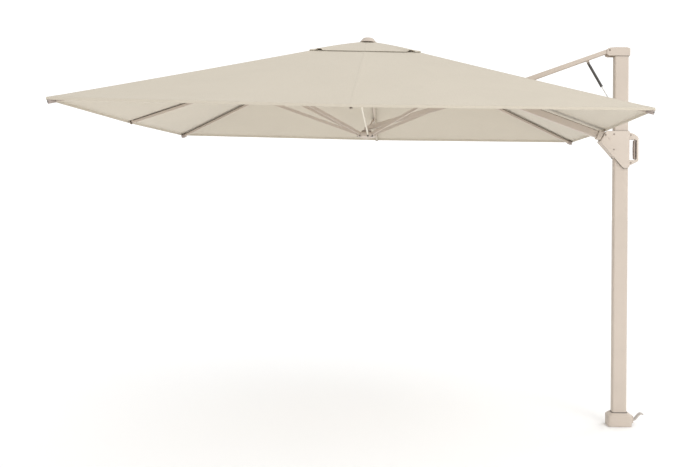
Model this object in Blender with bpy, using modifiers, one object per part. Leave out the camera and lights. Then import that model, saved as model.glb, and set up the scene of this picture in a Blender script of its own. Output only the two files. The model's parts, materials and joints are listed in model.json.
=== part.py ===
"""Cantilever parasol: a rectangular canopy hung from a side mast by a scissor of a boom and an arm.

The mast turns on a ground-fixed turntable. The boom is pinned to a carriage that slides on the
mast, the arm hangs from the mast head, and the two cross at the scissor pin. The boom's end
carries the crown with the ribs, and the arm's end carries the runner with the struts, so that
lowering the carriage folds the canopy down beside the mast.

Metres, +Z up. The origin is on the ground, on the mast's axis, and -X points to the canopy.
"""

from math import atan2, cos, hypot, pi, radians, sin

import bmesh
import bpy
from mathutils import Matrix, Vector

GAP = 0.0003  # between touching pieces

# Mast and foot
MAST_X, MAST_Y = 0.106, 0.070
MAST_WALL = 0.0035
MAST_FOOT, MAST_TOP = 0.0080, 2.725
PLATE_RADIUS, PLATE_THICK, BOLT_CIRCLE = 0.057, 0.0065, 0.0435
SPIGOT_RADIUS, SPIGOT_WALL, SPIGOT_TOP = 0.029, 0.005, 0.300
CASING_X, CASING_Y, CASING_WALL = 0.178, 0.124, 0.003
CASING_LOW, CASING_SHOULDER, CASING_TOP = 0.0025, 0.078, 0.097
PEDAL_PIVOT = (0.0680, 0.0480)
CAP_HALF, CAP_TOP = 0.0425, 2.7875

# Scissor linkage in the plane y = 0, as (x, z)
PIVOT_X = -0.090
ARM_PIVOT_Z = 2.765
SCISSOR_REACH = 0.949  # from the scissor pin to the arm's pivot and to the boom's
SCISSOR_ANGLE = radians(19.95)
TIP_REACH = 0.932  # from the scissor pin to the crown and to the runner
TIP_ANGLE = radians(16.75)
CANOPY_TILT = radians(0.63)  # the canopy's outer side stands a little higher
FOLD = radians(64.0)

# Boom and arm sections
BOOM_Y, BOOM_Z, BOOM_WALL = 0.050, 0.052, 0.0025
RAIL_THICK, RAIL_OFFSET = 0.008, 0.032
RAIL_HALF_ENDS, RAIL_HALF_MIDDLE = 0.0135, 0.018
PIN_RADIUS, SCISSOR_PIN_RADIUS = 0.006, 0.008
PIN_PLAY = 0.0003

# Carriage grip: its outer face, the bar's width in X, its half depth in Y, and the trigger's hinge
GRIP_X, GRIP_BAR, GRIP_HALF = 0.129, 0.013, 0.026
TRIGGER_PIVOT = (0.1020, 2.1010)

# Canopy, measured from the crown pivot along the canopy's own axes
CANOPY_X, CANOPY_Y = 3.50, 2.60
RIM_Z, APEX_Z = -0.515, 0.113
SHEET = 0.003
SHEET_START = 0.140  # share of the half width where the main sheet begins at the crown
VENT_SHARE, VENT_RIM_Z, VENT_APEX_Z, VENT_HOLE = 0.223, -0.014, 0.103, 0.012
SLOT_X, SLOT_Y = (-0.955, -0.845), 0.043  # where the arm passes through the sheet

# Crown, runner, ribs and struts
CROWN_RADIUS, RIB_HINGE_RADIUS, RIB_HINGE_Z = 0.105, 0.090, 0.050
RUNNER_RADIUS, STRUT_HINGE_RADIUS, STRUT_HINGE_Z = 0.070, 0.060, -0.046
RIB_Y, RIB_Z, RIB_WALL = 0.016, 0.022, 0.0015
RIB_DROP = 0.0146  # from the sheet's underside to a rib's middle at the rim
RIB_FOLDED = radians(85.0)
STRUT_Y, STRUT_Z = 0.010, 0.020
STRUT_SIDE = 0.014  # a strut lies beside its rib

# Gas spring
SPRING_TOP = (-0.238, 2.669)
SPRING_FOOT = (-0.070, 2.382)
CYLINDER_RADIUS, ROD_RADIUS = 0.0100, 0.004
CYLINDER_LENGTH, ROD_START = 0.193, 0.160

COLOURS = {
    "powder_coat": ((0.73, 0.64, 0.54), 0.45, 0.35),
    "moulded_trim": ((0.74, 0.66, 0.56), 0.50, 0.0),
    "canopy_fabric": ((0.71, 0.63, 0.52), 0.90, 0.0),
    "gas_spring": ((0.045, 0.042, 0.040), 0.35, 0.2),
    "bright_steel": ((0.62, 0.61, 0.60), 0.30, 1.0),
    "dark_plastic": ((0.07, 0.065, 0.06), 0.55, 0.0),
}


def clear_scene():
    for found in list(bpy.data.objects):
        bpy.data.objects.remove(found, do_unlink=True)


def new_collection(name):
    made = bpy.data.collections.new(name)
    bpy.context.scene.collection.children.link(made)
    return made


clear_scene()
PARTS = new_collection("cantilever_parasol")
CUTTERS = new_collection("cutters")


def material(name):
    """The Principled material of that name."""
    if name in bpy.data.materials:
        return bpy.data.materials[name]
    colour, roughness, metallic = COLOURS[name]
    made = bpy.data.materials.new(name)
    made.use_nodes = True
    shader = made.node_tree.nodes["Principled BSDF"]
    shader.inputs["Base Color"].default_value = (*colour, 1)
    shader.inputs["Roughness"].default_value = roughness
    shader.inputs["Metallic"].default_value = metallic
    made.diffuse_color = (*colour, 1)
    return made


# Frames and pivots


def flat_point(point):
    """A point (x, z) of the mid-plane as a vector."""
    return Vector((point[0], 0.0, point[1]))


def toward(start, angle, length):
    """The point at that length from start, at that angle above +X in the mid-plane."""
    return (start[0] + length * cos(angle), start[1] + length * sin(angle))


def frame_along(start, end):
    """A frame at start whose X axis points to end, with Y kept and Z upward."""
    run, rise = end[0] - start[0], end[1] - start[1]
    if run < 0:
        return Matrix.Translation(flat_point(start)) @ Matrix.Rotation(pi, 4, "Z") @ Matrix.Rotation(
            -atan2(rise, -run), 4, "Y"
        )
    return Matrix.Translation(flat_point(start)) @ Matrix.Rotation(-atan2(rise, run), 4, "Y")


ARM_PIVOT = (PIVOT_X, ARM_PIVOT_Z)
BOOM_PIVOT = (PIVOT_X, ARM_PIVOT_Z - 2 * SCISSOR_REACH * sin(SCISSOR_ANGLE))
SCISSOR_PIVOT = toward(ARM_PIVOT, pi + SCISSOR_ANGLE, SCISSOR_REACH)
CROWN_PIVOT = toward(SCISSOR_PIVOT, pi - TIP_ANGLE - CANOPY_TILT, TIP_REACH)
RUNNER_PIVOT = toward(SCISSOR_PIVOT, pi + TIP_ANGLE - CANOPY_TILT, TIP_REACH)
CROWN_FRAME = Matrix.Translation(flat_point(CROWN_PIVOT)) @ Matrix.Rotation(CANOPY_TILT, 4, "Y")
RUNNER_FRAME = Matrix.Translation(flat_point(RUNNER_PIVOT)) @ Matrix.Rotation(CANOPY_TILT, 4, "Y")
WORLD = Matrix.Identity(4)


def pivot(name, frame, parent=None):
    """An empty on a joint's axis, which carries the pieces of one moving body."""
    made = bpy.data.objects.new(name, None)
    made.empty_display_size = 0.05
    PARTS.objects.link(made)
    if parent is not None:
        made.parent = parent
        made.matrix_parent_inverse = parent.matrix_world.inverted()
    made.matrix_world = frame
    bpy.context.view_layer.update()
    return made


# Shapes


def place(shape, frame, carrier):
    shape.matrix_world = frame
    if carrier is not None:
        shape.parent = carrier
        shape.matrix_parent_inverse = carrier.matrix_world.inverted()
    return shape


def mesh_object(name, mesh_data, finish, frame=WORLD, carrier=None, collection=PARTS):
    made = bpy.data.objects.new(name, mesh_data)
    collection.objects.link(made)
    if finish is not None:
        mesh_data.materials.append(material(finish))
    return place(made, frame, carrier)


def from_bmesh(bm, name):
    mesh_data = bpy.data.meshes.new(name)
    bmesh.ops.recalc_face_normals(bm, faces=bm.faces)
    bm.to_mesh(mesh_data)
    bm.free()
    return mesh_data


def as_cutter(shape):
    shape.hide_render = True
    shape.display_type = "WIRE"
    return shape


def box_mesh(name, low, high):
    bm = bmesh.new()
    bmesh.ops.create_cube(bm, size=1.0)
    for vertex in bm.verts:
        for axis in range(3):
            vertex.co[axis] = low[axis] if vertex.co[axis] < 0 else high[axis]
    return from_bmesh(bm, name)


def box(name, low, high, finish, frame=WORLD, carrier=None, bevel=0.0):
    made = mesh_object(name, box_mesh(name, low, high), finish, frame, carrier)
    if bevel:
        round_edges(made, bevel)
    return made


def box_tool(name, low, high, frame=WORLD):
    return as_cutter(mesh_object(name, box_mesh(name, low, high), None, frame, None, CUTTERS))


def rod_mesh(name, radius, low, high, axis="Y", sides=24):
    """A round bar from low to high along that axis."""
    bm = bmesh.new()
    bmesh.ops.create_cone(
        bm, cap_ends=True, segments=sides, radius1=radius, radius2=radius, depth=high - low
    )
    bmesh.ops.translate(bm, verts=bm.verts, vec=(0, 0, (low + high) / 2))
    turn = {"Z": WORLD, "Y": Matrix.Rotation(-pi / 2, 4, "X"), "X": Matrix.Rotation(pi / 2, 4, "Y")}
    bmesh.ops.transform(bm, matrix=turn[axis], verts=bm.verts)
    return from_bmesh(bm, name)


def rod(name, radius, low, high, finish, frame=WORLD, carrier=None, axis="Y"):
    made = mesh_object(name, rod_mesh(name, radius, low, high, axis), finish, frame, carrier)
    made.data.shade_smooth()
    made.data.set_sharp_from_angle(angle=radians(40))
    return made


def rod_tool(name, radius, low, high, frame=WORLD, axis="Y"):
    return as_cutter(
        mesh_object(name, rod_mesh(name, radius, low, high, axis), None, frame, None, CUTTERS)
    )


def round_edges(shape, width, segments=1, limit=30.0):
    bevel = shape.modifiers.new("Rounded edges", "BEVEL")
    bevel.width = width
    bevel.segments = segments
    bevel.limit_method = "ANGLE"
    bevel.angle_limit = radians(limit)
    return shape


def boolean(shape, tool, operation):
    step = shape.modifiers.new(tool.name, "BOOLEAN")
    step.operation = operation
    step.solver = "EXACT"
    step.object = tool
    return shape


def cut(shape, *tools):
    for tool in tools:
        boolean(shape, tool, "DIFFERENCE")
    return shape


def join(shape, *tools):
    for tool in tools:
        boolean(shape, tool, "UNION")
    return shape


def circle_points(centre, radius, count=20, start=0.0, sweep=2 * pi):
    steps = count if sweep >= 2 * pi else count + 1
    return [
        (
            centre[0] + radius * cos(start + sweep * i / count),
            centre[1] + radius * sin(start + sweep * i / count),
        )
        for i in range(steps)
    ]


def outline_curve(name, loops, half_thickness):
    """A flat outline in a frame's XZ plane, with its holes, extruded to both sides along Y."""
    curve = bpy.data.curves.new(name, "CURVE")
    curve.dimensions = "2D"
    curve.fill_mode = "BOTH"
    curve.extrude = half_thickness
    for points in loops:
        spline = curve.splines.new("POLY")
        spline.points.add(len(points) - 1)
        for control, (x, z) in zip(spline.points, points):
            control.co = (x, z, 0, 1)
        spline.use_cyclic_u = True
    return curve


def outline_mesh(name, loops, half_thickness):
    """The same outline as a closed mesh, standing in the XZ plane."""
    source = bpy.data.objects.new(name + "_outline", outline_curve(name, loops, half_thickness))
    CUTTERS.objects.link(source)
    source.rotation_euler = (pi / 2, 0, 0)
    bpy.context.view_layer.update()
    found = source.evaluated_get(bpy.context.evaluated_depsgraph_get())
    mesh_data = bpy.data.meshes.new_from_object(found)
    mesh_data.name = name
    bm = bmesh.new()
    bm.from_mesh(mesh_data)
    bmesh.ops.remove_doubles(bm, verts=bm.verts, dist=1e-5)
    bmesh.ops.transform(bm, matrix=source.matrix_world, verts=bm.verts)
    bmesh.ops.recalc_face_normals(bm, faces=bm.faces)
    bm.to_mesh(mesh_data)
    bm.free()
    bpy.data.objects.remove(source, do_unlink=True)
    return mesh_data


def outline(name, loops, half_thickness, finish, frame=WORLD, carrier=None, bevel=0.0):
    mesh_data = outline_mesh(name, loops, half_thickness)
    made = mesh_object(name, mesh_data, finish, frame, carrier)
    if bevel:
        round_edges(made, bevel, limit=60.0)
    return made


def outline_tool(name, loops, half_thickness, frame=WORLD):
    return as_cutter(
        mesh_object(name, outline_mesh(name, loops, half_thickness), None, frame, None, CUTTERS)
    )


def bar_outline(centres, halves, steps=8):
    """The outline of a bar along a bent line, with round ends."""
    first, last = centres[0], centres[-1]
    start = atan2(centres[1][1] - first[1], centres[1][0] - first[0])
    finish = atan2(last[1] - centres[-2][1], last[0] - centres[-2][0])
    points = circle_points(first, halves[0], steps, start + pi / 2, pi)
    sides = []
    for before, here, after, half in zip(centres, centres[1:], centres[2:], halves[1:]):
        a = atan2(here[1] - before[1], here[0] - before[0])
        b = atan2(after[1] - here[1], after[0] - here[0])
        sides.append((here, (a + b) / 2 if abs(a - b) < pi else (a + b) / 2 + pi, half))
    points += [toward(here, middle - pi / 2, half) for here, middle, half in sides]
    points += circle_points(last, halves[-1], steps, finish - pi / 2, pi)
    points += [toward(here, middle + pi / 2, half) for here, middle, half in reversed(sides)]
    return points


def rounded_rectangle(width, height, corner, steps=3):
    """The corner points of a rounded rectangle about the origin."""
    points = []
    for quarter in range(4):
        side_x = 1 if quarter in (0, 3) else -1
        side_y = 1 if quarter in (0, 1) else -1
        centre = (side_x * (width / 2 - corner), side_y * (height / 2 - corner))
        points += circle_points(centre, corner, steps, quarter * pi / 2, pi / 2)
    return points


def section_tube(name, width, height, corner, wall, low, high, finish, frame, carrier=None):
    """An open tube of rounded rectangular section, from low to high along the frame's X axis.
    Its width is along Y and its height along Z."""
    section = rounded_rectangle(width, height, corner)
    bm = bmesh.new()
    rings = [[bm.verts.new((x, y, z)) for y, z in section] for x in (low, high)]
    count = len(section)
    for i in range(count):
        near, far = i, (i + 1) % count
        bm.faces.new((rings[0][near], rings[0][far], rings[1][far], rings[1][near]))
    made = mesh_object(name, from_bmesh(bm, name), finish, frame, carrier)
    shell = made.modifiers.new("Wall", "SOLIDIFY")
    shell.thickness = wall
    shell.offset = -1.0
    shell.use_even_offset = True
    return made


def turned(name, profile, finish, frame=WORLD, carrier=None, axis="Z", steps=32, collection=PARTS):
    """A turned piece: its profile is a list of (radius, height), from top to bottom."""
    bm = bmesh.new()
    place_point = {
        "Z": lambda radius, height: (radius, 0, height),
        "X": lambda radius, height: (height, 0, radius),
    }[axis]
    line = [bm.verts.new(place_point(radius, height)) for radius, height in profile]
    for before, after in zip(line, line[1:]):
        bm.edges.new((before, after))
    mesh_data = bpy.data.meshes.new(name)
    bm.to_mesh(mesh_data)
    bm.free()
    made = mesh_object(name, mesh_data, finish, frame, carrier, collection)
    lathe = made.modifiers.new("Turned", "SCREW")
    lathe.axis = axis
    lathe.steps = steps
    lathe.render_steps = steps
    lathe.use_merge_vertices = True
    lathe.merge_threshold = 1e-5
    lathe.use_smooth_shade = True
    return made


# Bodies: every moving group hangs from an empty on its joint's axis

BASE = pivot("base_body", WORLD)
MAST = pivot("mast_body", WORLD, BASE)
ARM = pivot("arm_body", Matrix.Translation(flat_point(ARM_PIVOT)), MAST)
BOOM = pivot("boom_body", Matrix.Translation(flat_point(SCISSOR_PIVOT)), ARM)
CARRIAGE = pivot("carriage_body", Matrix.Translation(flat_point(BOOM_PIVOT)), BOOM)
CROWN = pivot("crown_body", CROWN_FRAME, BOOM)
RUNNER = pivot("runner_body", RUNNER_FRAME, ARM)


def build_turntable():
    plate = turned(
        "turntable_base",
        [
            (0, SPIGOT_TOP - 0.012),
            (SPIGOT_RADIUS - SPIGOT_WALL, SPIGOT_TOP - 0.012),
            (SPIGOT_RADIUS - SPIGOT_WALL, SPIGOT_TOP),
            (SPIGOT_RADIUS, SPIGOT_TOP),
            (SPIGOT_RADIUS, PLATE_THICK),
            (PLATE_RADIUS, PLATE_THICK),
            (PLATE_RADIUS, 0),
            (0, 0),
        ],
        "bright_steel",
        carrier=BASE,
        steps=40,
    )
    for i in range(4):
        turn = Matrix.Rotation(pi / 4 + i * pi / 2, 4, "Z")
        at = Matrix.Translation(turn @ Vector((BOLT_CIRCLE, 0, 0)))
        cut(plate, rod_tool(f"bolt_hole_{i + 1}", 0.0050, -0.01, 0.03, at, "Z"))


def build_mast():
    upright = Matrix.Rotation(-pi / 2, 4, "Y")
    tube = section_tube(
        "mast_tube", MAST_Y, MAST_X, 0.012, MAST_WALL, MAST_FOOT, MAST_TOP, "powder_coat", upright, MAST
    )
    tube.data.shade_smooth()
    cut(tube, box_tool("shoe_notch", (MAST_X / 2 - 0.010, -0.0150, 0.0), (MAST_X / 2 + 0.01, 0.0150, 0.0235)))
    inner_x, inner_y = MAST_X - 2 * MAST_WALL, MAST_Y - 2 * MAST_WALL
    bush = box(
        "mast_bush",
        (-inner_x / 2 + GAP, -inner_y / 2 + GAP, 0.250),
        (inner_x / 2 - GAP, inner_y / 2 - GAP, 0.280),
        "dark_plastic",
        carrier=MAST,
    )
    chamfer_upright_edges(bush, 0.010)
    cut(bush, rod_tool("bush_bore", SPIGOT_RADIUS + GAP, 0.24, 0.30, axis="Z"))


def chamfer_upright_edges(shape, width):
    """Bevels the four edges that stand along Z."""
    bm = bmesh.new()
    bm.from_mesh(shape.data)
    upright = [e for e in bm.edges if abs(e.verts[0].co.z - e.verts[1].co.z) > 1e-4]
    bmesh.ops.bevel(bm, geom=upright, offset=width, segments=3, profile=0.5, affect="EDGES")
    bm.to_mesh(shape.data)
    bm.free()


def build_mast_cap():
    """The head casting: it closes the mast, and its nose holds the arm's pivot pin."""
    nose, tail = -0.1115, 0.0595
    low = MAST_TOP + GAP
    loop = [(tail, low), (tail, CAP_TOP - 0.0085), (0.036, CAP_TOP), (-0.040, CAP_TOP)]
    loop += [(-0.088, CAP_TOP - 0.0035), (nose + 0.008, CAP_TOP - 0.0085), (nose, CAP_TOP - 0.0205)]
    loop += [(nose, low + 0.016), (nose + 0.0075, low + 0.004), (nose + 0.0190, low)]
    cap = outline("mast_cap", [loop], CAP_HALF, "powder_coat", carrier=MAST)
    plug_x, plug_y = MAST_X / 2 - MAST_WALL - GAP - 0.010, MAST_Y / 2 - MAST_WALL - GAP - 0.008
    join(cap, box_tool("cap_plug", (-plug_x, -plug_y, low - 0.035), (plug_x, plug_y, low + 0.020)))
    slot_half, slot_roof = RAIL_OFFSET + RAIL_THICK / 2 + 0.0012, ARM_PIVOT_Z + 0.0150
    cut(cap, box_tool("cap_slot", (nose - 0.02, -slot_half, low - 0.05), (-0.0565, slot_half, slot_roof)))
    hole = Matrix.Translation(flat_point(ARM_PIVOT))
    cut(cap, rod_tool("cap_pin_hole", PIN_RADIUS + PIN_PLAY, -0.05, 0.05, hole))
    round_edges(cap, 0.003, 2, 50.0)


def build_foot():
    """The casing round the mast's foot, with the pedal that frees the mast to turn."""
    levels = [(CASING_LOW, 1.0, 1.0), (CASING_SHOULDER, 1.0, 1.0), (CASING_TOP, 0.72, 0.72)]
    section = rounded_rectangle(CASING_X, CASING_Y, 0.022, 4)
    bm = bmesh.new()
    rings = []
    for height, share_x, share_y in levels:
        rings.append([bm.verts.new((x * share_x, y * share_y, height)) for x, y in section])
    for lower, upper in zip(rings, rings[1:]):
        for i in range(len(section)):
            j = (i + 1) % len(section)
            bm.faces.new((lower[i], lower[j], upper[j], upper[i]))
    bm.faces.new(rings[-1])
    casing = mesh_object("foot_casing", from_bmesh(bm, "foot_casing"), "powder_coat", carrier=MAST)
    shell = casing.modifiers.new("Wall", "SOLIDIFY")
    shell.thickness = CASING_WALL
    shell.offset = -1.0
    upright = Matrix.Rotation(-pi / 2, 4, "Y")
    hole_x, hole_y = MAST_X + 2 * GAP, MAST_Y + 2 * GAP
    cut(casing, section_tool("casing_mast_hole", hole_y, hole_x, 0.012, 0.05, 0.15, upright))
    slot_low, slot_high = (CASING_X / 2 - 0.012, -0.0240, 0.024), (CASING_X / 2 + 0.01, 0.0240, 0.064)
    cut(casing, box_tool("casing_pedal_slot", slot_low, slot_high))

    face, ear_end = MAST_X / 2 + GAP, PEDAL_PIVOT[0] + 0.008
    back_low, back_high = (face, -0.0255, 0.032), (face + 0.004, 0.0255, 0.064)
    bracket = box("pedal_bracket", back_low, back_high, "bright_steel", carrier=MAST)
    for side, name in ((-1, "front"), (1, "rear")):
        low_y, high_y = sorted((side * 0.0222, side * 0.0255))
        join(bracket, box_tool(f"bracket_ear_{name}", (face + 0.002, low_y, 0.038), (ear_end, high_y, 0.058)))

    pedal_frame = Matrix.Translation(flat_point(PEDAL_PIVOT))
    pedal_body = pivot("pedal_body", pedal_frame, MAST)
    reach = [(-0.003, 0.0), (0.018, -0.004), (0.036, -0.008), (0.052, -0.003), (0.064, 0.010), (0.077, 0.027),
             (0.092, 0.038), (0.109, 0.035)]
    halves = [0.0065, 0.0065, 0.0055, 0.0045, 0.0042, 0.0042, 0.0040, 0.0036]
    shape = bar_outline(reach, halves, 6)
    outline("foot_pedal", [shape], 0.0210, "powder_coat", pedal_frame, pedal_body, 0.0015)

    low = PLATE_THICK + GAP
    shoe_body = pivot("shoe_body", Matrix.Translation((0.067, 0, low)), MAST)
    shoe = [(0.0455, low), (0.0745, low), (0.0745, 0.0325), (0.0600, 0.0325)]
    shoe += [(0.0600, 0.0180), (0.0455, 0.0180)]
    outline("brake_shoe", [shoe], 0.0140, "dark_plastic", carrier=shoe_body)


def section_tool(name, width, height, corner, low, high, frame):
    """A solid bar of rounded rectangular section along the frame's X axis."""
    section = rounded_rectangle(width, height, corner)
    bm = bmesh.new()
    face = bm.faces.new([bm.verts.new((low, y, z)) for y, z in section])
    swept = bmesh.ops.extrude_face_region(bm, geom=[face])
    ends = [v for v in swept["geom"] if isinstance(v, bmesh.types.BMVert)]
    bmesh.ops.translate(bm, verts=ends, vec=(high - low, 0, 0))
    return as_cutter(mesh_object(name, from_bmesh(bm, name), None, frame, None, CUTTERS))


def build_carriage():
    """The sliding carriage: a sleeve on the mast, two cheeks, and a D-shaped grip with a trigger."""
    play, low, high = 0.0005, 1.925, 2.160
    outer_x, outer_y = 0.1130, 0.0830
    upright = Matrix.Translation((0, 0, (low + high) / 2)) @ Matrix.Rotation(pi / 2, 4, "X")
    bore = rounded_rectangle(MAST_X + 2 * play, MAST_Y + 2 * play, 0.012)
    rings = [rounded_rectangle(outer_x, outer_y, 0.014), bore]
    sleeve = outline("carriage_sleeve", rings, (high - low) / 2, "moulded_trim", upright, CARRIAGE)
    trim = [(-0.0800, 1.9100), (-0.0800, 2.0077), (-0.0075, 1.9250), (0.0050, 1.9100)]
    cut(sleeve, outline_tool("sleeve_trim", [trim], 0.06))
    bolt_frame = Matrix.Translation((0, 0, 2.125))
    cut(sleeve, rod_tool("bolt_way", 0.0054, 0.045, 0.07, bolt_frame, "X"))

    edge = outer_x / 2 - GAP / 2
    cheek = [(-0.1115, 2.171), (edge, 2.171), (edge, 1.9085), (0.047, 1.899), (0.0167, 1.8965)]
    cheek += [(0.0013, 1.909), (-0.060, 1.979), (-0.1607, 2.092)]
    pin_hole = circle_points(BOOM_PIVOT, PIN_RADIUS + PIN_PLAY, 24)
    for side, name in ((-1, "front"), (1, "rear")):
        frame = Matrix.Translation((0, side * 0.0475, 0))
        outline(f"carriage_{name}_cheek", [cheek, pin_hole], 0.0045, "moulded_trim", frame, CARRIAGE, 0.0025)

    root = outer_x / 2 + GAP
    outer = [(root, 2.165), (0.0980, 2.1505), (0.1215, 2.1340), (GRIP_X, 2.1210), (GRIP_X, 1.9560)]
    outer += [(0.1225, 1.9475), (0.0745, 1.9233), (root, 1.9170)]
    inner_x = GRIP_X - GRIP_BAR
    inner = [(root, 1.9580), (inner_x - 0.011, 1.9600), (inner_x, 1.9700), (inner_x, 2.1020),
             (inner_x - 0.009, 2.1107), (root, 2.1107)]
    grip = outline("handle_grip", [outer + inner], GRIP_HALF, "moulded_trim", carrier=CARRIAGE)
    round_edges(grip, 0.004, 2, 60.0)
    cut(grip, rod_tool("bolt_bore", 0.0054, 0.050, 0.0870, bolt_frame, "X"))

    trigger_frame = Matrix.Translation(flat_point(TRIGGER_PIVOT))
    trigger_body = pivot("trigger_body", trigger_frame, CARRIAGE)
    trigger = [(0.0, 0.0), (-0.001, -0.030), (-0.0015, -0.066), (-0.001, -0.102), (0.0005, -0.130)]
    outline("handle_trigger", [bar_outline(trigger, [0.0046, 0.0048, 0.0050, 0.0048, 0.0044], 5)], 0.020,
            "moulded_trim", trigger_frame, trigger_body, 0.0015)

    bolt_body = pivot("bolt_body", bolt_frame, CARRIAGE)
    rod("lock_bolt", 0.005, MAST_X / 2 + 0.0008, 0.0800, "bright_steel", bolt_frame, bolt_body, "X")
    at_root = Matrix.Translation(flat_point(BOOM_PIVOT))
    rod("boom_root_pin", PIN_RADIUS, -0.0520, 0.0520, "bright_steel", at_root, CARRIAGE)


def build_arm():
    """Two rails that straddle the boom, pinned at the mast head, at the scissor and at the runner."""
    line = [ARM_PIVOT, SCISSOR_PIVOT, RUNNER_PIVOT]
    loops = [bar_outline(line, [RAIL_HALF_ENDS, RAIL_HALF_MIDDLE, RAIL_HALF_ENDS])]
    for centre, radius in zip(line, (PIN_RADIUS, SCISSOR_PIN_RADIUS, PIN_RADIUS)):
        loops.append(circle_points(centre, radius + PIN_PLAY, 24))
    for side, name in ((-1, "front"), (1, "rear")):
        frame = Matrix.Translation((0, side * RAIL_OFFSET, 0))
        outline(f"arm_{name}_rail", loops, RAIL_THICK / 2, "powder_coat", frame, ARM, 0.0012)
    pins = (
        ("arm_pivot_pin", ARM_PIVOT, PIN_RADIUS, 0.0422, MAST),
        ("scissor_pin", SCISSOR_PIVOT, SCISSOR_PIN_RADIUS, 0.0400, ARM),
        ("runner_pin", RUNNER_PIVOT, PIN_RADIUS, 0.0385, ARM),
    )
    for name, centre, radius, half, carrier in pins:
        rod(name, radius, -half, half, "bright_steel", Matrix.Translation(flat_point(centre)), carrier)


def build_boom():
    lower, upper = frame_along(BOOM_PIVOT, SCISSOR_PIVOT), frame_along(SCISSOR_PIVOT, CROWN_PIVOT)
    root_end, knuckle_half, head_start = 0.062, 0.050, TIP_REACH - 0.062
    half_height = BOOM_Z / 2
    root = [(root_end, -half_height), (root_end, half_height)]
    root += circle_points((0, 0), 0.0245, 10, pi / 2, pi)
    pin_hole = circle_points((0, 0), PIN_RADIUS + PIN_PLAY, 24)
    outline("boom_root", [root, pin_hole], 0.0230, "powder_coat", lower, BOOM)
    lower_end = SCISSOR_REACH - knuckle_half
    section_tube("boom_lower", BOOM_Y, BOOM_Z, 0.006, BOOM_WALL, root_end + GAP, lower_end - GAP,
                 "powder_coat", lower, BOOM)
    section_tube("boom_upper", BOOM_Y, BOOM_Z, 0.006, BOOM_WALL, knuckle_half + GAP, head_start - GAP,
                 "powder_coat", upper, BOOM)
    section_tube("boom_collar", 0.080, 0.068, 0.010, 0.0075, 0.0525, 0.086, "moulded_trim", lower, BOOM)

    lower_low, lower_high = (lower @ Vector((lower_end, 0, rise)) for rise in (-half_height, half_height))
    upper_low, upper_high = (upper @ Vector((knuckle_half, 0, rise)) for rise in (-half_height, half_height))
    middle = atan2(CROWN_PIVOT[1] - BOOM_PIVOT[1], CROWN_PIVOT[0] - BOOM_PIVOT[0]) + pi / 2
    bends = [toward(SCISSOR_PIVOT, middle, half_height), toward(SCISSOR_PIVOT, middle, -half_height)]
    bend_low, bend_high = sorted(bends, key=lambda point: point[1])
    knuckle = [(lower_low.x, lower_low.z), (lower_high.x, lower_high.z), bend_high]
    knuckle += [(upper_high.x, upper_high.z), (upper_low.x, upper_low.z), bend_low]
    scissor_hole = circle_points(SCISSOR_PIVOT, SCISSOR_PIN_RADIUS + PIN_PLAY, 24)
    outline("boom_knuckle", [knuckle, scissor_hole], 0.0245, "powder_coat", WORLD, BOOM)

    at_crown = frame_along(CROWN_PIVOT, SCISSOR_PIVOT)
    head = [(0.062, -half_height + 0.002), (0.062, half_height - 0.002)]
    head += circle_points((0, 0), 0.0200, 10, pi / 2, pi)
    fork = outline("boom_head", [head, pin_hole], 0.0240, "powder_coat", at_crown, BOOM)
    cut(fork, box_tool("head_slot", (-0.04, -0.0112, -0.04), (0.040, 0.0112, 0.04), at_crown))
    pin_place = Matrix.Translation(flat_point(CROWN_PIVOT))
    rod("crown_pin", PIN_RADIUS, -0.0265, 0.0265, "bright_steel", pin_place, BOOM)


def build_gas_spring():
    """A damped gas spring between the arm and the mast, which carries the canopy's weight."""
    spring = frame_along(SPRING_TOP, SPRING_FOOT)
    length = hypot(SPRING_FOOT[0] - SPRING_TOP[0], SPRING_FOOT[1] - SPRING_TOP[1])
    along_arm = frame_along(ARM_PIVOT, SCISSOR_PIVOT)
    top = along_arm.inverted() @ flat_point(SPRING_TOP)
    lug = bar_outline([(top.x, 0.0), (top.x, top.z)], [0.013, 0.0080], 8)
    bracket = outline("gas_arm_bracket", [lug], 0.0048, "powder_coat", along_arm, ARM)
    bar_place = along_arm @ Matrix.Translation((top.x, 0, 0))
    join(bracket, rod_tool("bracket_bar", 0.010, -0.0277, 0.0277, bar_place))

    tube_body = pivot("gas_cylinder_body", Matrix.Translation(flat_point(SPRING_TOP)), ARM)
    bore_start = 0.030
    cylinder = turned(
        "gas_cylinder",
        [(0, -0.010), (CYLINDER_RADIUS, -0.010), (CYLINDER_RADIUS, CYLINDER_LENGTH),
         (ROD_RADIUS + 0.0005, CYLINDER_LENGTH), (ROD_RADIUS + 0.0005, bore_start), (0, bore_start)],
        "gas_spring",
        spring,
        tube_body,
        "X",
        24,
    )
    cut(cylinder, box_tool("cylinder_slot", (-0.02, -0.0052, -0.02), (0.015, 0.0052, 0.02), spring))

    rod_body = pivot("gas_rod_body", Matrix.Translation(flat_point(SPRING_FOOT)), tube_body)
    piston = rod("gas_rod", ROD_RADIUS, ROD_START, length - 0.004, "bright_steel", spring, rod_body, "X")
    join(piston, outline_tool("rod_eye", [circle_points((length, 0), 0.0085, 16)], 0.0055, spring))

    face = -MAST_X / 2 - GAP
    foot = SPRING_FOOT[1]
    low, high = (face - 0.005, -0.018, foot - 0.024), (face, 0.018, foot + 0.024)
    bracket = box("gas_mast_bracket", low, high, "powder_coat", carrier=MAST)
    for side, name in ((-1, "front"), (1, "rear")):
        low_y, high_y = sorted((side * 0.0062, side * 0.0100))
        low, high = (SPRING_FOOT[0] - 0.010, low_y, foot - 0.011), (face - 0.002, high_y, foot + 0.011)
        join(bracket, box_tool(f"spring_lug_{name}", low, high))


# Canopy: ribs, struts and sheet. Each rib has its azimuth about the crown's axis, from +X, and
# the side of it, 1 or -1, on which its strut lies.

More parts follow.
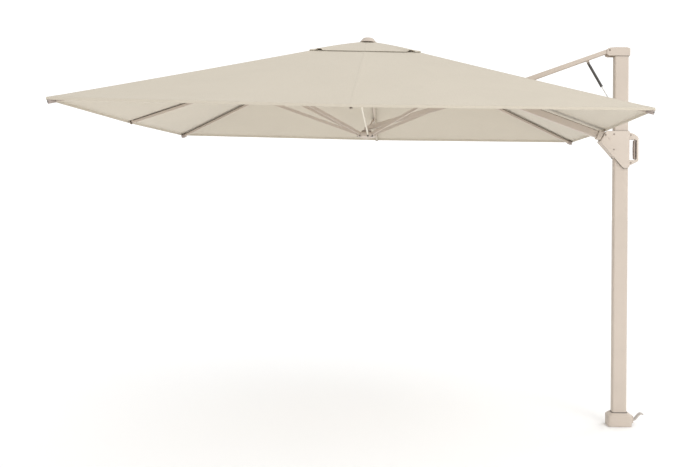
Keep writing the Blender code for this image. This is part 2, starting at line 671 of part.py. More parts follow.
CORNER = atan2(CANOPY_Y, CANOPY_X)
RIBS = {
    "mid_left": (pi, 1),
    "mid_front": (-pi / 2, 1),
    "mid_back": (pi / 2, 1),
    "front_left": (CORNER - pi, 1),
    "front_right": (-CORNER, -1),
    "back_left": (pi - CORNER, -1),
    "back_right": (CORNER, 1),
}


# The sheet's panels, by quarter of the canopy: name, the body it goes with, and the edge it meets,
# which is the short end or the long side.
PANELS = (
    ("canopy_right_back", "boom_body", "end"),
    ("canopy_back_right", "rib_back_right_body", "side"),
    ("canopy_left_back", "rib_back_left_body", "end"),
    ("canopy_back_left", "rib_mid_back_body", "side"),
    ("canopy_left_front", "rib_mid_left_body", "end"),
    ("canopy_front_left", "rib_front_left_body", "side"),
    ("canopy_right_front", "rib_front_right_body", "end"),
    ("canopy_front_right", "rib_mid_front_body", "side"),
)


def rim_radius(azimuth):
    """How far the canopy's edge is from its axis at that azimuth."""
    across, deep = abs(cos(azimuth)), abs(sin(azimuth))
    return min(CANOPY_X / 2 / max(across, 1e-9), CANOPY_Y / 2 / max(deep, 1e-9))


def rib_angle(azimuth):
    """How far a rib slopes down from its hinge to the rim, when the canopy is open."""
    return atan2(RIB_HINGE_Z - (RIM_Z - RIB_DROP), rim_radius(azimuth) - RIB_HINGE_RADIUS)


def hub_distance(fold):
    """From the plane of the rib hinges down to the plane of the strut hinges."""
    return 2 * TIP_REACH * sin(TIP_ANGLE + fold) + RIB_HINGE_Z - STRUT_HINGE_Z


def strut_joint(azimuth):
    """Where a strut meets its rib, as a distance along the rib, chosen so that a strut of one
    length fits both the open and the folded canopy."""
    open_angle = rib_angle(azimuth)
    inset = RIB_HINGE_RADIUS - STRUT_HINGE_RADIUS
    high, low = hub_distance(0), hub_distance(FOLD)
    gain = low * sin(RIB_FOLDED) - high * sin(open_angle) - inset * (cos(RIB_FOLDED) - cos(open_angle))
    return (low**2 - high**2) / (2 * gain)


def build_crown():
    hub = turned(
        "crown_hub",
        [(0, 0.086), (0.022, 0.086), (0.026, 0.082), (0.030, 0.066), (0.090, 0.0615),
         (CROWN_RADIUS - 0.003, 0.0590), (CROWN_RADIUS, 0.0565), (CROWN_RADIUS, 0.040),
         (CROWN_RADIUS - 0.003, 0.037), (0, 0.037)],
        "powder_coat",
        CROWN_FRAME,
        CROWN,
        steps=48,
    )
    lug = bar_outline([(0, 0), (0, 0.045)], [0.016, 0.020], 8)
    join(hub, outline_tool("crown_lug", [lug], 0.0108, CROWN_FRAME))
    cut(hub, rod_tool("crown_lug_hole", PIN_RADIUS + PIN_PLAY, -0.05, 0.05, CROWN_FRAME))
    for name, (azimuth, _) in RIBS.items():
        turn = CROWN_FRAME @ Matrix.Rotation(azimuth, 4, "Z")
        cut(hub, box_tool(f"rib_notch_{name}", (0.079, -0.0071, 0.0), (0.12, 0.0071, 0.09), turn))
    turned(
        "finial",
        [(0, 0.129), (0.032, 0.1285), (0.039, 0.125), (0.058, 0.101), (0.062, 0.0985), (0.062, 0.0955),
         (0.058, 0.0945), (0.012, 0.1050), (0.010, 0.1000), (0.010, 0.0865), (0, 0.0865)],
        "powder_coat",
        CROWN_FRAME,
        CROWN,
        steps=28,
    )


def build_pull_rod():
    """A thin stick that hangs from the crown beside the runner."""
    top, foot = CROWN_FRAME @ Vector((0.020, 0.045, 0.0365)), CROWN_FRAME @ Vector((0.073, 0.085, -0.622))
    line = foot - top
    frame = Matrix.Translation(top) @ line.to_track_quat("Z", "Y").to_matrix().to_4x4()
    rod("pull_rod", 0.005, 0.002, line.length, "powder_coat", frame, CROWN, "Z")


def build_runner():
    hub = turned(
        "runner_hub",
        [(0, -0.026), (0.020, -0.026), (RUNNER_RADIUS - 0.004, -0.034), (RUNNER_RADIUS, -0.038),
         (RUNNER_RADIUS, -0.062), (RUNNER_RADIUS - 0.004, -0.066), (0.028, -0.074), (0.022, -0.080),
         (0, -0.080)],
        "powder_coat",
        RUNNER_FRAME,
        RUNNER,
        steps=40,
    )
    lug = bar_outline([(0, -0.042), (0, 0)], [0.022, 0.0145], 8)
    join(hub, outline_tool("runner_lug", [lug], 0.0270, RUNNER_FRAME))
    cut(hub, rod_tool("runner_lug_hole", PIN_RADIUS + PIN_PLAY, -0.05, 0.05, RUNNER_FRAME))
    for name, (azimuth, sign) in RIBS.items():
        side = sign * STRUT_SIDE
        turn = RUNNER_FRAME @ Matrix.Rotation(azimuth, 4, "Z")
        half = STRUT_Y / 2 + 0.0006
        cut(hub, box_tool(f"strut_notch_{name}", (0.045, side - half, -0.09), (0.10, side + half, 0.0), turn))


def build_rib(name, azimuth):
    """A hollow rib with a flat tongue that hinges in the crown's notch."""
    frame = (
        CROWN_FRAME
        @ Matrix.Rotation(azimuth, 4, "Z")
        @ Matrix.Translation((RIB_HINGE_RADIUS, 0, RIB_HINGE_Z))
        @ Matrix.Rotation(rib_angle(azimuth), 4, "Y")
    )
    body = pivot(f"rib_{name}_body", frame, CROWN)
    length = hypot(rim_radius(azimuth) - RIB_HINGE_RADIUS, RIB_HINGE_Z - RIM_Z + RIB_DROP)
    tube = section_tube(
        f"rib_{name}", RIB_Y, RIB_Z, 0.003, RIB_WALL, 0.032, length, "powder_coat", frame, body
    )
    tongue = bar_outline([(0, 0), (0.066, 0)], [0.0080, 0.0080], 6)
    tongue_half = RIB_Y / 2 - RIB_WALL + 0.0002
    join(tube, outline_tool(f"tongue_{name}", [tongue], tongue_half, frame))


def build_strut(name, azimuth, sign):
    """A bar from the runner to its rib, beside which it lies."""
    side = sign * STRUT_SIDE
    angle, reach = rib_angle(azimuth), strut_joint(azimuth)
    run = RIB_HINGE_RADIUS + reach * cos(angle) - STRUT_HINGE_RADIUS
    rise = hub_distance(0) - reach * sin(angle)
    frame = (
        RUNNER_FRAME
        @ Matrix.Rotation(azimuth, 4, "Z")
        @ Matrix.Translation((STRUT_HINGE_RADIUS, side, STRUT_HINGE_Z))
        @ Matrix.Rotation(-atan2(rise, run), 4, "Y")
    )
    body = pivot(f"strut_{name}_body", frame, RUNNER)
    shape = bar_outline([(0, 0), (hypot(run, rise), 0)], [STRUT_Z / 2, STRUT_Z / 2], 6)
    outline(f"strut_{name}", [shape], STRUT_Y / 2, "powder_coat", frame, body)


def sheet_height(x, y, rim=RIM_Z, apex=APEX_Z):
    """The height of a sheet stretched from the crown to the rectangular rim."""
    share = max(abs(x) / (CANOPY_X / 2), abs(y) / (CANOPY_Y / 2))
    return apex + (rim - apex) * share


def sheet_solid(name, faces, rim, apex, body):
    """A thin solid over faces that are given in plan."""
    bm = bmesh.new()
    for corners in faces:
        bm.faces.new([bm.verts.new((x, y, sheet_height(x, y, rim, apex))) for x, y in corners])
    bmesh.ops.remove_doubles(bm, verts=bm.verts, dist=1e-5)
    mesh_data = bpy.data.meshes.new(name)
    bm.to_mesh(mesh_data)
    bm.free()
    made = mesh_object(name, mesh_data, "canopy_fabric", CROWN_FRAME, body)
    shell = made.modifiers.new("Sheet", "SOLIDIFY")
    shell.thickness = SHEET
    shell.offset = 1.0
    return made


def build_panels():
    """The main sheet, as one flat panel between each two neighbouring ribs. The boom stands for
    the rib on the mast's side. Each panel goes with the rib that is named for it."""
    half_x, half_y, seam = CANOPY_X / 2, CANOPY_Y / 2, 0.0006
    for quarter, (along, deep) in enumerate(((1, 1), (-1, 1), (-1, -1), (1, -1))):
        first, last = (PANELS[2 * quarter], PANELS[2 * quarter + 1])
        for panel_name, carrier, on_side in (first, last):
            corner = (along * half_x, deep * half_y)
            if on_side == "end":
                middle = (along * half_x, deep * seam)
                near_corner = (corner[0], corner[1] - deep * seam)
            else:
                middle = (along * seam, deep * half_y)
                near_corner = (corner[0] - along * seam, corner[1])
            spots = [middle, near_corner]
            inner = [(x * SHEET_START, y * SHEET_START) for x, y in spots]
            if on_side == "end":
                inner[0] = (middle[0] * SHEET_START, middle[1])
            else:
                inner[0] = (middle[0], middle[1] * SHEET_START)
            loop = [inner[0], spots[0], spots[1], inner[1]]
            turning_left = (along * deep > 0) == (on_side == "end")
            face = loop if turning_left else loop[::-1]
            panel = sheet_solid(panel_name, [face], RIM_Z, APEX_Z, bpy.data.objects[carrier])
            if on_side == "end" and along > 0:
                slot = box_tool(f"arm_slot_{panel_name}", (SLOT_X[0], -SLOT_Y, 2.3), (SLOT_X[1], SLOT_Y, 2.7))
                cut(panel, slot)


def build_vent_flap():
    """The small sheet over the crown, raised for the wind to pass under it."""
    outer_x, outer_y = CANOPY_X / 2 * VENT_SHARE, CANOPY_Y / 2 * VENT_SHARE
    hole_x, hole_y = CANOPY_X / 2 * VENT_HOLE, CANOPY_Y / 2 * VENT_HOLE
    outer = [(outer_x, -outer_y), (outer_x, outer_y), (-outer_x, outer_y), (-outer_x, -outer_y)]
    inner = [(hole_x, -hole_y), (hole_x, hole_y), (-hole_x, hole_y), (-hole_x, -hole_y)]
    faces = [[inner[i], outer[i], outer[(i + 1) % 4], inner[(i + 1) % 4]] for i in range(4)]
    slope_rim = VENT_APEX_Z - (VENT_APEX_Z - VENT_RIM_Z) / VENT_SHARE
    sheet_solid("vent_flap", faces, slope_rim, VENT_APEX_Z, CROWN)


build_turntable()
build_mast()
build_mast_cap()
build_foot()
build_carriage()
build_arm()
build_boom()
build_gas_spring()
build_crown()
build_pull_rod()
build_runner()
for rib_name, (rib_azimuth, strut_sign) in RIBS.items():
    build_rib(rib_name, rib_azimuth)
    build_strut(rib_name, rib_azimuth, strut_sign)
build_panels()
build_vent_flap()
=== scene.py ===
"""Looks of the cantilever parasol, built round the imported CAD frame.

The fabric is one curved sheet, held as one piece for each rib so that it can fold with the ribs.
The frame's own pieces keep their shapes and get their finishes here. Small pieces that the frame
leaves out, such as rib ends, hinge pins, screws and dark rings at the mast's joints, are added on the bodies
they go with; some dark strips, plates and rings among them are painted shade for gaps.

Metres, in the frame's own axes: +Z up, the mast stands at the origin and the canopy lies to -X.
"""

import json
from math import atan2, cos, hypot, pi, radians, sin

import bmesh
import bpy
from mathutils import Matrix, Vector


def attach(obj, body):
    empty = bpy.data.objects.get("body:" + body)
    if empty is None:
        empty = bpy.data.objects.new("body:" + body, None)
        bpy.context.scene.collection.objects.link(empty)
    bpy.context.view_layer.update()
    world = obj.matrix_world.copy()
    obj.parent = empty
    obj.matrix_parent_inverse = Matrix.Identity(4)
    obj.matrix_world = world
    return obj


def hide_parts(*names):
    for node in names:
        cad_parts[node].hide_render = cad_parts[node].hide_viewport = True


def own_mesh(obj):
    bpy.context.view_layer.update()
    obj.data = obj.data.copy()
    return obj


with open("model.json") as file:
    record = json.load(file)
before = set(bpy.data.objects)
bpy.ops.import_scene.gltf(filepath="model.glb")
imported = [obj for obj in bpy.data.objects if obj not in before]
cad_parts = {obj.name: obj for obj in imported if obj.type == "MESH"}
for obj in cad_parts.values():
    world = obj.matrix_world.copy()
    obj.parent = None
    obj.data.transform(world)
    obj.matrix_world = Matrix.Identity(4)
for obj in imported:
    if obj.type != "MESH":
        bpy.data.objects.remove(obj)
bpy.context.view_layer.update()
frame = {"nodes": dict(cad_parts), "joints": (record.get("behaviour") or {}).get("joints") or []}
NODES = frame["nodes"]
JOINTS = {joint["name"]: joint for joint in frame["joints"]}


def joint_point(name):
    return Vector(JOINTS[name]["pos_m"])


# Canopy, in the crown's own frame, whose origin is the crown's pivot
CANOPY_TILT = radians(0.63)
CROWN = Matrix.Translation(joint_point("crown_level")) @ Matrix.Rotation(CANOPY_TILT, 4, "Y")
RUNNER = Matrix.Translation(joint_point("runner_level")) @ Matrix.Rotation(CANOPY_TILT, 4, "Y")
HALF_X, HALF_Y = 1.75, 1.30
RIM_Z, APEX_Z = -0.512, 0.116  # the sheet's upper side
CLOTH = 0.0016
CLOTH_SLOPE = hypot(1.0, 0.36)  # cloth length for each metre of plan
MEAN_REACH = 1.45  # from the crown to the rim in plan, which hems are measured on
SHEET_START = 0.140
SAG, CORNER_LIFT, EDGE_DIP = 0.010, 0.010, 0.002
HEM_WIDTH, HEM_DROP = 0.034, 0.018
HEM_STEP, HEM_FLARE = 0.0048, 0.10  # the hem stands clear of the rib ends and leans out
SEAM_HALF = 0.0065
VENT_SHARE, VENT_INNER, VENT_HOLE = 0.223, 0.058, 0.012
VENT_RIM_Z, VENT_APEX_Z = -0.0185, 0.1048
VENT_ARCH, VENT_MOUTH, VENT_DROP, VENT_HEM = 0.0066, 0.013, 0.003, 0.016
SLOT_X, SLOT_Y = (0.911, 1.021), 0.043

RIB_Y, RIB_Z, RIB_DROP = 0.016, 0.022, 0.0146
MAST_X, MAST_Y, MAST_TOP = 0.106, 0.070, 2.725
CASING_TOP, SLEEVE_TOP, CHEEK_FACE = 0.097, 2.160, 0.052
SPRING_TOP, SPRING_FOOT, CYLINDER_LENGTH = Vector((-0.238, 0, 2.669)), Vector((-0.070, 0, 2.382)), 0.193
BOOM_Y, BOOM_Z = 0.050, 0.052
RIBS = ("mid_left", "mid_front", "mid_back", "front_left", "front_right", "back_left", "back_right")

# The eight points of the rim where the ribs and the boom end, from +X towards +Y
RIM_POINTS = [
    Vector((x * HALF_X, y * HALF_Y, 0))
    for x, y in ((1, 0), (1, 1), (0, 1), (-1, 1), (-1, 0), (-1, -1), (0, -1), (1, -1))
]
CARRIERS = (
    ("boom", "canopy_right_back"),
    ("rib_back_right", "canopy_back_right"),
    ("rib_mid_back", "canopy_back_left"),
    ("rib_back_left", "canopy_left_back"),
    ("rib_mid_left", "canopy_left_front"),
    ("rib_front_left", "canopy_front_left"),
    ("rib_mid_front", "canopy_front_right"),
    ("rib_front_right", "canopy_right_front"),
)


# Node materials


def add(tree, kind, inputs=None, **settings):
    """A node with its settings, whose inputs are numbers or other nodes' outputs."""
    node = tree.nodes.new(kind)
    for key, value in settings.items():
        setattr(node, key, value)
    for key, value in (inputs or {}).items():
        if isinstance(value, bpy.types.NodeSocket):
            tree.links.new(value, node.inputs[key])
        else:
            node.inputs[key].default_value = value
    return node


def start_material(name, colour, roughness, metallic=0.0):
    made = bpy.data.materials.new(name)
    made.use_nodes = True
    shader = made.node_tree.nodes["Principled BSDF"]
    shader.inputs["Base Color"].default_value = (*colour, 1)
    shader.inputs["Roughness"].default_value = roughness
    shader.inputs["Metallic"].default_value = metallic
    made.diffuse_color = (*colour, 1)
    return made, made.node_tree, shader


def noise(tree, where, scale, detail=2.0, roughness=0.5):
    inputs = {"Vector": where, "Scale": scale, "Detail": detail, "Roughness": roughness}
    return add(tree, "ShaderNodeTexNoise", inputs).outputs["Fac"]


def spread(tree, value, low, high, from_low=0.3, from_high=0.7):
    """Value mapped to run from low to high."""
    inputs = {"Value": value, "From Min": from_low, "From Max": from_high, "To Min": low, "To Max": high}
    return add(tree, "ShaderNodeMapRange", inputs).outputs["Result"]


def math(tree, operation, first, second=0.0):
    return add(tree, "ShaderNodeMath", {0: first, 1: second}, operation=operation).outputs[0]


def blend_colours(tree, share, first, second):
    """The colour from first to second; each is a colour or an output."""
    node = add(tree, "ShaderNodeMix", data_type="RGBA")
    for socket, value in ((node.inputs[0], share), (node.inputs[6], first), (node.inputs[7], second)):
        if isinstance(value, bpy.types.NodeSocket):
            tree.links.new(value, socket)
        else:
            socket.default_value = (*value, 1) if isinstance(value, tuple) else value
    return node.outputs[2]


def shade(colour, share):
    return tuple(min(1.0, channel * share) for channel in colour)


def bump(tree, height, strength, distance, normal=None):
    inputs = {"Height": height, "Strength": strength, "Distance": distance}
    if normal is not None:
        inputs["Normal"] = normal
    return add(tree, "ShaderNodeBump", inputs).outputs["Normal"]


def edge_highlight_and_rounding(tree, radius):
    """A mask that is 1 on sharp edges, which the coatings use for a painted edge highlight, and the normal
    that rounds them.
    """
    rounded = add(tree, "ShaderNodeBevel", {"Radius": radius}, samples=4).outputs["Normal"]
    plain = add(tree, "ShaderNodeNewGeometry").outputs["Normal"]
    alike = add(tree, "ShaderNodeVectorMath", {0: plain, 1: rounded}, operation="DOT_PRODUCT")
    return spread(tree, alike.outputs["Value"], 1.0, 0.0, 0.86, 0.99), rounded


def coated(name, colour, roughness, grain, grain_height, edge_radius, edge_highlight_gain, metallic=0.0, mottle=0.035):
    """Powder coat or moulded plastic: a fine grain, faint clouds, and sharp edges painted lighter as a
    highlight.
    """
    made, tree, shader = start_material(name, colour, roughness, metallic)
    where = add(tree, "ShaderNodeTexCoord").outputs["Object"]
    clouds = noise(tree, where, 5.0, 3.0)
    specks = noise(tree, where, grain * 0.6, 2.0)
    edge, rounded = edge_highlight_and_rounding(tree, edge_radius)
    dark, light = shade(colour, 1 - mottle), shade(colour, 1 + mottle)
    base = blend_colours(tree, spread(tree, clouds, 0.0, 1.0), dark, light)
    fine = blend_colours(tree, spread(tree, specks, 0.0, 0.35), base, shade(colour, 0.93))
    # Painted highlight: the colour is made lighter on sharp edges.
    edge_highlighted = blend_colours(tree, math(tree, "MULTIPLY", edge, 0.6), fine, shade(colour, edge_highlight_gain))
    tree.links.new(edge_highlighted, shader.inputs["Base Color"])
    uneven = spread(tree, clouds, roughness - 0.05, roughness + 0.06)
    rough = math(tree, "SUBTRACT", uneven, math(tree, "MULTIPLY", edge, 0.08))
    tree.links.new(rough, shader.inputs["Roughness"])
    grained = bump(tree, noise(tree, where, grain, 2.0), 0.5, grain_height, rounded)
    tree.links.new(grained, shader.inputs["Normal"])
    return made


def brushed_steel():
    colour = (0.60, 0.59, 0.57)
    made, tree, shader = start_material("steel_look", colour, 0.30, 1.0)
    where = add(tree, "ShaderNodeTexCoord").outputs["Object"]
    drawn = add(tree, "ShaderNodeMapping", {"Vector": where, "Scale": (40.0, 900.0, 900.0)}).outputs["Vector"]
    lines = noise(tree, drawn, 1.0, 3.0)
    _, rounded = edge_highlight_and_rounding(tree, 0.0006)
    tint = blend_colours(tree, spread(tree, lines, 0.0, 1.0), shade(colour, 0.88), shade(colour, 1.08))
    tree.links.new(tint, shader.inputs["Base Color"])
    tree.links.new(spread(tree, lines, 0.24, 0.38), shader.inputs["Roughness"])
    tree.links.new(bump(tree, lines, 0.2, 0.0001, rounded), shader.inputs["Normal"])
    return made


def stitches(tree, along, across, offset, pitch=0.0046, thread=0.0007):
    """A row of stitches at that offset across: 1 on the thread."""
    off_line = math(tree, "ABSOLUTE", math(tree, "SUBTRACT", math(tree, "ABSOLUTE", across), offset))
    on_line = spread(tree, off_line, 1.0, 0.0, thread * 0.6, thread * 1.3)
    phase = math(tree, "FRACT", math(tree, "DIVIDE", along, pitch))
    dash = spread(tree, math(tree, "ABSOLUTE", math(tree, "SUBTRACT", phase, 0.5)), 1.0, 0.0, 0.34, 0.42)
    return math(tree, "MULTIPLY", on_line, dash)


def uv_parts(tree, layer):
    at = add(tree, "ShaderNodeUVMap", uv_map=layer).outputs["UV"]
    parts = add(tree, "ShaderNodeSeparateXYZ", {"Vector": at})
    return at, parts.outputs["X"], parts.outputs["Y"]


def canopy_cloth(name, colour):
    """Woven polyester. The layer Weave runs in metres over the panel, Seam along and across the
    nearest rib's seam, and Hem along the rim and in from it."""
    made, tree, shader = start_material(name, colour, 0.86)
    weave, u, v = uv_parts(tree, "Weave")
    _, along_seam, off_seam = uv_parts(tree, "Seam")
    _, along_hem, off_hem = uv_parts(tree, "Hem")
    thread = 2 * pi / 0.0012
    warp = math(tree, "SINE", math(tree, "MULTIPLY", u, thread))
    weft = math(tree, "SINE", math(tree, "MULTIPLY", v, thread))
    crossing = math(tree, "MULTIPLY", warp, weft)
    yarns_each_way = []
    for stretch in ((900.0, 14.0, 1.0), (14.0, 900.0, 1.0)):
        drawn = add(tree, "ShaderNodeMapping", {"Vector": weave, "Scale": stretch}).outputs["Vector"]
        yarns_each_way.append(noise(tree, drawn, 1.0, 2.0))
    slubs = math(tree, "ADD", *yarns_each_way)
    clouds = noise(tree, weave, 2.3, 3.0)
    rows = math(tree, "MAXIMUM", stitches(tree, along_seam, off_seam, SEAM_HALF * 0.72),
                stitches(tree, along_hem, off_hem, HEM_WIDTH - 0.004))
    rows = math(tree, "MAXIMUM", rows, stitches(tree, along_hem, off_hem, HEM_DROP + 0.003))
    base = blend_colours(tree, spread(tree, clouds, 0.0, 1.0), shade(colour, 0.975), shade(colour, 1.02))
    yarns = blend_colours(tree, spread(tree, slubs, 0.0, 0.6, 0.8, 1.25), base, shade(colour, 0.90))
    # Painted shade: the cloth is darkened along the fold lines beside each rib's seam.
    from_fold = math(tree, "SUBTRACT", math(tree, "ABSOLUTE", off_seam), SEAM_HALF)
    crease_shade = spread(tree, math(tree, "ABSOLUTE", from_fold), 0.35, 0.0, 0.0002, 0.0012)
    crease_shaded = blend_colours(tree, crease_shade, yarns, shade(colour, 0.88))
    sewn = blend_colours(tree, rows, crease_shaded, shade(colour, 1.12))
    tree.links.new(sewn, shader.inputs["Base Color"])
    tree.links.new(spread(tree, slubs, 0.80, 0.92, 0.8, 1.25), shader.inputs["Roughness"])
    shader.inputs["Sheen Weight"].default_value = 0.12
    shader.inputs["Sheen Roughness"].default_value = 0.5
    woven = bump(tree, crossing, 0.25, 0.0003)
    slubbed = bump(tree, slubs, 0.35, 0.0004, woven)
    raised = bump(tree, rows, 0.8, 0.0008, slubbed)
    tree.links.new(raised, shader.inputs["Normal"])
    return made


CHAMPAGNE = (0.530, 0.456, 0.388)
TRIM = (0.555, 0.482, 0.412)
CLOTH_COLOUR = (0.55, 0.495, 0.405)

# name, colour, roughness, grains per metre, grain height, edge radius, edge gain (how much lighter the
# painted edge highlight is)
LOOKS = {
    "powder_coat": coated("powder_coat_look", CHAMPAGNE, 0.50, 1100.0, 0.00025, 0.0016, 1.12),
    "moulded_trim": coated("moulded_trim_look", TRIM, 0.58, 1600.0, 0.00018, 0.0020, 1.07, mottle=0.02),
    "gas_spring": coated("gas_spring_look", (0.050, 0.046, 0.042), 0.36, 900.0, 0.00010, 0.0008, 2.2),
    "dark_plastic": coated("dark_plastic_look", (0.085, 0.078, 0.070), 0.55, 1500.0, 0.00015, 0.0010, 1.6),
    "bright_steel": brushed_steel(),
    "canopy_fabric": canopy_cloth("canopy_look", CLOTH_COLOUR),
}
GREY_CAP = coated("grey_cap_look", (0.33, 0.275, 0.245), 0.55, 1500.0, 0.00015, 0.0012, 1.15)
BRONZE = coated("bronze_look", (0.235, 0.190, 0.155), 0.42, 900.0, 0.00010, 0.0008, 1.5, metallic=0.4)
# The trigger's darker colour, also used for a plate that is painted shade on the grip's inner face.
GRIP_AND_INNER_SHADE = coated("grip_and_inner_shade_look", (0.330, 0.270, 0.232), 0.62, 1500.0, 0.00020, 0.0012, 1.2)
# Pale colour of the pull rod, also a painted lit copy of the powder coat for the front middle strut.
PALE_ROD_AND_LIT_STRUT = coated("pale_rod_and_lit_strut_look", (0.68, 0.625, 0.53), 0.50, 1100.0, 0.00020, 0.0012, 1.05)
# Dark colour of the mid ribs' end caps, also used for strips that are painted shade for the gaps between the
# ribs or boom and the cloth.
DARK_CAP_AND_GAP_SHADE = coated("track_look", (0.110, 0.078, 0.052), 0.60, 1500.0, 0.00015, 0.0008, 1.3)
PEDAL = coated("pedal_look", (0.46, 0.415, 0.375), 0.45, 1200.0, 0.00025, 0.0012, 1.2)
PLATE = coated("plate_look", (0.085, 0.078, 0.072), 0.50, 1200.0, 0.00025, 0.0012, 1.5)
OWN_LOOKS = {
    "foot_pedal": PEDAL,
    "turntable_base": PLATE,
    "pull_rod": PALE_ROD_AND_LIT_STRUT,
    "handle_trigger": GRIP_AND_INNER_SHADE,
    # Painted light: the front middle strut takes the pale colour, as a lit copy of the powder coat.
    "strut_mid_front": PALE_ROD_AND_LIT_STRUT,
}


def finish_frame():
    """Each CAD node takes its own finish, or else the finish of its slot."""
    for node in NODES.values():
        for slot_number, slot in enumerate(node.material_slots):
            found = slot.material.name.split(".")[0] if slot.material else "powder_coat"
            look = LOOKS.get(found, LOOKS["powder_coat"])
            node.data.materials[slot_number] = OWN_LOOKS.get(node.name, look)


finish_frame()


# Meshes


def piece(name, mesh_data, look, body):
    made = bpy.data.objects.new(name, mesh_data)
    bpy.context.scene.collection.objects.link(made)
    mesh_data.materials.append(look)
    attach(made, body)
    return made


def smooth(mesh_data, angle=35):
    mesh_data.shade_smooth()
    mesh_data.set_sharp_from_angle(angle=radians(angle))
    return mesh_data


def sharp_rims(mesh_data):
    """Keeps the cut edges of a sheet from shading the face beside them."""
    uses = [0] * len(mesh_data.edges)
    for loop in mesh_data.loops:
        uses[loop.edge_index] += 1
    for edge, count in zip(mesh_data.edges, uses):
        edge.use_edge_sharp = edge.use_edge_sharp or count == 1
    return mesh_data


def to_mesh(bm, name, matrix=None):
    mesh_data = bpy.data.meshes.new(name)
    if matrix is not None:
        bm.transform(matrix)
    bm.to_mesh(mesh_data)
    bm.free()
    return mesh_data


def cloth_piece(name, bm, body):
    mesh_data = sharp_rims(smooth(to_mesh(bm, name), 50))
    made = piece(name, mesh_data, LOOKS["canopy_fabric"], body)
    step = made.modifiers.new("Cloth", "SOLIDIFY")
    step.thickness = CLOTH
    step.offset = -1.0
    return made


def panel_label(body):
    return body.replace("rib_", "").replace("boom", "mid_right")


# Canopy


def rim_point(index, along):
    """A point of the rim at along, from -1 to 1 over the wedge of that rib, and how far it is
    from the edge's middle (0) to the corner (1)."""
    here = RIM_POINTS[index]
    other = RIM_POINTS[(index + (1 if along > 0 else -1)) % 8]
    span = abs(along) / 2
    point = here + (other - here) * span
    to_corner = span if index % 2 == 0 else 1 - span
    return point, to_corner, span * (other - here).length


def ease(value, low, high):
    """0 below low and 1 above high, with a smooth step between."""
    share = min(1.0, max(0.0, (value - low) / (high - low)))
    return share * share * (3 - 2 * share)


def seam_ridge(distance, height=0.0007):
    return height * (1 - ease(distance, SEAM_HALF * 0.8, SEAM_HALF * 1.25))


def main_height(share, to_corner, distance, inset):
    taut = APEX_Z - (APEX_Z - RIM_Z) * share
    sag = SAG * 16 * to_corner * (1 - to_corner) * share**2 * (1 - share)
    edge = share**3 * (CORNER_LIFT * to_corner - EDGE_DIP * (1 - to_corner))
    hem = 0.0010 * (1 - ease(inset, HEM_WIDTH - 0.0015, HEM_WIDTH + 0.0015))
    return taut - sag + edge + seam_ridge(distance) + hem


def vent_height(share, to_corner, distance, inset):
    """The vent's flap lies close to the sheet along its sides and opens beside its corners."""
    reach = share / VENT_SHARE
    taut = VENT_APEX_Z - (VENT_APEX_Z - VENT_RIM_Z) * reach
    arch = VENT_ARCH * 4 * reach * (1 - reach)
    mouth = VENT_MOUTH * reach**4 * ease(to_corner, 0.745, 0.805) * (1 - ease(to_corner, 0.855, 0.905))
    hem = 0.0010 * (1 - ease(inset, VENT_HEM, VENT_HEM + 0.003))
    return taut + arch + mouth + seam_ridge(distance) + hem


def columns(count=13):
    """Places across a wedge, from -1 to 1, closer together at the rib."""
    half = [0.0035, 0.0075, 0.0115, 0.016]
    half += [0.016 + 0.984 * (i / count) ** 1.35 for i in range(1, count + 1)]
    return [-value for value in reversed(half)] + [0.0] + half


def shares(start, end, hem, count):
    """Places from the crown to the rim, closer together at the hem."""
    width = (hem + 0.003) / MEAN_REACH
    main = [start + (end - width - start) * (i / count) for i in range(count + 1)]
    edge = [end - width * part for part in (0.72, 0.5, 0.25, 0.1, 0.0)]
    return main + edge


def wedge(index, rows, height, drop):
    """One rib's part of a sheet, in the row frame, with its three texture layers. The last rows
    turn down over the rim and hang by drop."""
    bm = bmesh.new()
    layers = {label: bm.loops.layers.uv.new(label) for label in ("Weave", "Seam", "Hem")}
    across = columns(13 if drop == HEM_DROP else 26)
    here = RIM_POINTS[index]
    facts = {}
    grid = []
    hanging = [(rows[-1], drop * part) for part in (0.12, 0.5, 1.0)]
    for share, lip in [(share, None) for share in rows] + hanging:
        line = []
        inset = (rows[-1] - share) * MEAN_REACH
        stand = 1.0 if lip is None else 1 + (HEM_STEP + HEM_FLARE * lip)
        fallen = lip or 0.0
        for along in across:
            point, to_corner, offset = rim_point(index, along)
            distance = offset * share
            z = height(share, to_corner, distance, inset) - fallen
            flat = point * share * stand
            vertex = bm.verts.new(CROWN @ Vector((flat.x, flat.y, z)))
            side = 1 if along > 0 else -1
            along_rib = share * here.length
            facts[vertex] = (
                (side * offset * share, along_rib * CLOTH_SLOPE + fallen),
                (along_rib, side * distance),
                (side * offset, inset + drop - fallen),
            )
            line.append(vertex)
        grid.append(line)
    for inner, outer in zip(grid, grid[1:]):
        for left in range(len(across) - 1):
            corners = [inner[left], outer[left], outer[left + 1], inner[left + 1]]
            face = bm.faces.new(corners)
            for loop in face.loops:
                for label, place in zip(("Weave", "Seam", "Hem"), facts[loop.vert]):
                    loop[layers[label]].uv = place
    return bm


def fold_with(made):
    """Gives the cloth piece its own copy of its mesh."""
    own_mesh(made)


